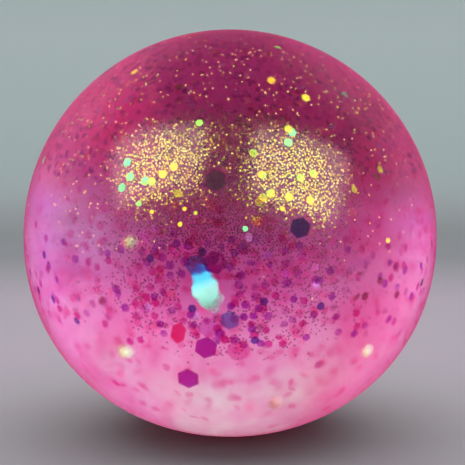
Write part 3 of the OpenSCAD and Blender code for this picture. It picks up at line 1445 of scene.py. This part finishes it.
@dataclass
class Studio:
    """Camera, lights, round floor and wall, and the screens that show through the ball.

    Attributes:
        elevation: Camera's height above the level view, in degrees.
        lens: Focal length in millimetres.
        far: Distance from the ball's middle.
        aim_right: How far right of the axis the camera aims.
        aim_up: Height that the camera aims at.
        wall_far: Distance of the wall.
        wall_tall: Height of the wall.
        cove_r: Radius of the curve between floor and wall.
        screen_far: Distance of the screen round the ball.
        screen_top: Angle up to which the screen reaches, in degrees.
        screen_low: Depth below the floor at which the screen is cut off.
        floor_z: Height of the floor.
        card_z: Height of the cards on the floor.
        foot_hole: Radius of the hole in the card under the ball.
        room_glow: Colour of the dim light all round.
        room_level: Brightness of that light.
        rim_glow: Glow that the ball's rim mirrors.
        glow: Glow of the screen.
        floor_glow: Glow of the floor card, with the ball's shadow painted into it as a dark red
            strip straight behind the ball.
        foot_glow: Glow of the card under the ball.
        paint: Paint of the floor and wall, with a ring of painted shade on the far floor.
    """

    elevation: float = 6.0
    lens: float = 100.0
    far: float = 0.2214
    aim_right: float = 0.4 * MM
    aim_up: float = 33.6 * MM
    wall_far: float = 0.75
    wall_tall: float = 1.0
    cove_r: float = 0.25
    screen_far: float = 0.20
    screen_top: float = 50.0
    screen_low: float = 20 * MM
    floor_z: float = -0.05 * MM
    card_z: float = 0.3 * MM
    foot_hole: float = 10 * MM
    room_glow: Colour = (0.93, 0.97, 1.0)
    room_level: float = 0.03
    rim_glow: Colour = (0.55, 0.07, 0.22)
    glow: ScreenGlow = ScreenGlow(
        "screen_glow", 0.12,
        (
            (0.0, (0.22, 0.13, 0.19)),
            (0.06, (0.28, 0.15, 0.25)),
            (0.16, (0.40, 0.30, 0.44)),
            (0.26, (0.66, 0.70, 0.80)),
            (0.39, (0.88, 1.45, 1.10)),
            (0.54, (0.88, 2.10, 1.20)),
            (0.75, (0.86, 3.00, 1.28)),
            (1.0, (0.95, 2.80, 1.32)),
        ),
        0.18,
        (
            (0.0, (1.85, 1.75, 2.05, 1.0)),
            (0.17, (1.40, 1.35, 1.50, 0.9)),
            (0.34, (0.66, 0.33, 0.51, 0.75)),
            (0.40, (0.50, 0.25, 0.42, 0.4)),
            (0.47, (0.60, 0.60, 0.70, 0.0)),
            (0.54, (0.80, 1.20, 1.20, 0.0)),
            (0.59, (0.76, 1.20, 1.10, 0.2)),
            (0.64, (0.78, 1.45, 1.30, 0.5)),
            (0.70, (0.84, 1.40, 1.26, 0.65)),
            (0.80, (1.12, 1.35, 1.66, 0.8)),
            (1.0, (1.80, 1.70, 2.05, 1.0)),
        ),
    )
    floor_glow: ScreenGlow = ScreenGlow(
        "floor_glow", 1.0,
        ((0.0, (0.30, 0.10, 0.20)), (1.0, (0.30, 0.10, 0.20))),
        0.12,
        (
            (0.0, (1.40, 1.20, 1.35)),
            (0.10, (1.10, 0.88, 1.00)),
            (0.20, (0.64, 0.40, 0.46)),
            # Painted shadow: these dark red middle bands are the ball's shadow on the floor
            # straight behind it
            (0.31, (0.55, 0.17, 0.29)),
            (0.38, (0.33, 0.05, 0.14)),
            (0.44, (0.26, 0.06, 0.15)),
            (0.54, (0.27, 0.08, 0.17)),
            (0.565, (0.54, 0.08, 0.24)),
            (0.60, (0.70, 0.10, 0.30)),
            (0.69, (0.60, 0.30, 0.49)),
            (0.75, (0.96, 0.69, 0.67)),
            (0.92, (1.35, 1.40, 1.95)),
            (1.0, (1.50, 1.60, 2.10)),
        ),
        0.2,
        (
            (0.0, (3.20, 3.40, 3.00)),
            (0.20, (2.20, 2.00, 2.00)),
            (0.31, (1.18, 0.90, 1.10)),
            (0.48, (1.00, 0.90, 1.00)),
            (0.65, (0.72, 0.75, 0.78)),
            (0.80, (0.66, 0.85, 0.95)),
            (1.0, (0.62, 1.40, 0.88)),
        ),
    )
    foot_glow: ScreenGlow = ScreenGlow(
        "foot_glow", 1.0,
        ((0.0, (0.70, 0.22, 0.42)), (1.0, (0.70, 0.22, 0.42))),
        1.0,
        ((0.0, (0.70, 0.22, 0.42)), (1.0, (0.70, 0.22, 0.42))),
    )
    paint: StudioPaint = StudioPaint(
        "studio_paint_and_shade", 0.80,
        (
            (0.0, (0.455, 0.49, 0.49)),
            (0.09, (0.445, 0.42, 0.475)),
            (0.19, (0.42, 0.40, 0.455)),
            # Painted shade: these two rings darken the floor about a quarter to a third of a metre
            # out
            (0.31, (0.235, 0.29, 0.295)),
            (0.41, (0.225, 0.295, 0.29)),
            (0.65, (0.335, 0.425, 0.42)),
            (1.0, (0.46, 0.53, 0.53)),
        ),
    )

    def camera(self) -> Piece:
        """Sets up the camera.

        Returns:
            The camera.
        """
        data = bpy.data.cameras.new("camera")
        data.lens = self.lens
        data.sensor_width = 36.0
        data.clip_start = 0.01
        camera = bpy.data.objects.new("camera", data)
        bpy.context.collection.objects.link(camera)
        lift = math.radians(self.elevation)
        aim = Vector((self.aim_right, 0, self.aim_up))
        camera.location = aim + Vector((0, -math.cos(lift), math.sin(lift))) * self.far
        camera.rotation_euler = (camera.location - aim).to_track_quat("Z", "Y").to_euler()
        bpy.context.scene.camera = camera
        return camera

    def cove(self) -> None:
        """Makes the round floor, with a wall that curves up all round it."""
        Bench.clear()
        bpy.ops.mesh.primitive_circle_add(
            vertices=128, radius=self.wall_far, fill_type="NGON", location=(0, 0, self.floor_z)
        )
        floor = Bench.fresh("studio_floor")
        Bench.select(floor)
        bpy.ops.mesh.select_mode(type="EDGE")
        bpy.ops.mesh.extrude_edges_move(TRANSFORM_OT_translate={"value": (0, 0, self.wall_tall)})
        bpy.ops.object.mode_set(mode="OBJECT")
        curve = floor.modifiers.new("cove", "BEVEL")
        curve.width = self.cove_r
        curve.segments = 16
        bpy.ops.object.modifier_apply(modifier=curve.name)
        bpy.ops.object.shade_smooth()
        floor.data.materials.append(self.paint.material())
        floor.visible_glossy = False

    def screens(self) -> None:
        """Makes the bright screen and floor cards round the ball, seen only through it."""
        Bench.clear()
        bpy.ops.mesh.primitive_uv_sphere_add(
            segments=64, ring_count=32, radius=self.screen_far, location=(0, 0, FORM.middle)
        )
        screen = Bench.fresh("light_screen")
        points = Bench.points(screen)
        high = FORM.middle + self.screen_far * math.sin(math.radians(self.screen_top))
        Bench.select(screen, (points[:, 2] < -self.screen_low) | (points[:, 2] > high))
        bpy.ops.mesh.delete(type="VERT")
        bpy.ops.object.mode_set(mode="OBJECT")
        points = Bench.points(screen)
        points[:, 2] = np.maximum(points[:, 2], self.card_z)
        Bench.put(screen, points)
        sheets = [
            (screen, self.glow),
            (self.card("floor_card", FORM.radius, self.screen_far), self.floor_glow),
            (self.card("foot_card", self.foot_hole, FORM.radius), self.foot_glow),
        ]
        for sheet, glow in sheets:
            sheet.data.materials.append(glow.material())
            sheet.visible_camera = sheet.visible_diffuse = False
            sheet.visible_glossy = sheet.visible_shadow = False

    def card(self, name: str, inner: float, outer: float) -> Piece:
        """Cuts a ring of card that lies on the floor.

        Args:
            name: Name of the card.
            inner: Radius of its hole.
            outer: Radius of its edge.

        Returns:
            The card.
        """
        Bench.clear()
        bpy.ops.mesh.primitive_circle_add(vertices=96, radius=outer, location=(0, 0, self.card_z))
        card = Bench.fresh(name)
        Bench.select(card)
        Bench.level(0.0, inner / outer, self.card_z)
        bpy.ops.object.mode_set(mode="OBJECT")
        return card

    def world(self) -> None:
        """Lights the room dimly from all round, and in pink where the ball's rim mirrors it."""
        make = Nodes(bpy.data.worlds.new("room"))
        path = make.add("LightPath").outputs
        outside = make.add(
            "Math", path["Glossy Depth"], path["Transmission Depth"], does="SUBTRACT"
        )
        outside.use_clamp = True
        dim = make.add("Background", self.room_glow, self.room_level)
        pink = make.add("Background", self.rim_glow)
        bpy.context.scene.world = make.finish(make.add("MixShader", outside, dim, pink))

    def build(self) -> None:
        """Sets up the whole studio."""
        camera = self.camera()
        middle = Vector((0, 0, FORM.middle))
        for box in (
            Softbox("left_softbox", -0.58, 0.61, 0.55, 0.51, 0.38, 3.2, 26),
            Softbox("right_softbox", 0.58, 0.54, 0.64, 0.53, 0.42, 3.2, -33),
            Softbox("back_left_softbox", -0.54, 0.58, -0.62, 0.54, 0.40, 3.2, 26, Reach.FLAKES),
            Softbox("back_right_softbox", 0.54, 0.58, -0.62, 0.54, 0.40, 3.2, -26, Reach.FLAKES),
            Softbox("top_light", 0.0, 0.97, -0.20, 2.2, 1.4, 1.42, reach=Reach.FLOOR),
        ):
            box.build(camera, middle)
        self.cove()
        self.screens()
        self.world()
        cycles = bpy.context.scene.cycles
        cycles.max_bounces = 24
        cycles.transmission_bounces = 16
        cycles.transparent_max_bounces = 64
        cycles.caustics_refractive = cycles.caustics_reflective = False
        bpy.context.scene.view_settings.view_transform = "Standard"


def main() -> None:
    """Builds the ball and the studio in order."""
    logging.basicConfig(level=logging.INFO, format="%(name)s: %(message)s")
    glitter = Glitter()
    flakes = (*glitter.hexagons(), *glitter.dots(), *glitter.grains())
    for part in (Skin(), Plug(), Gel(), *flakes):
        part.dress(part.build())
    Studio().build()


if __name__ == "__main__":
    main()
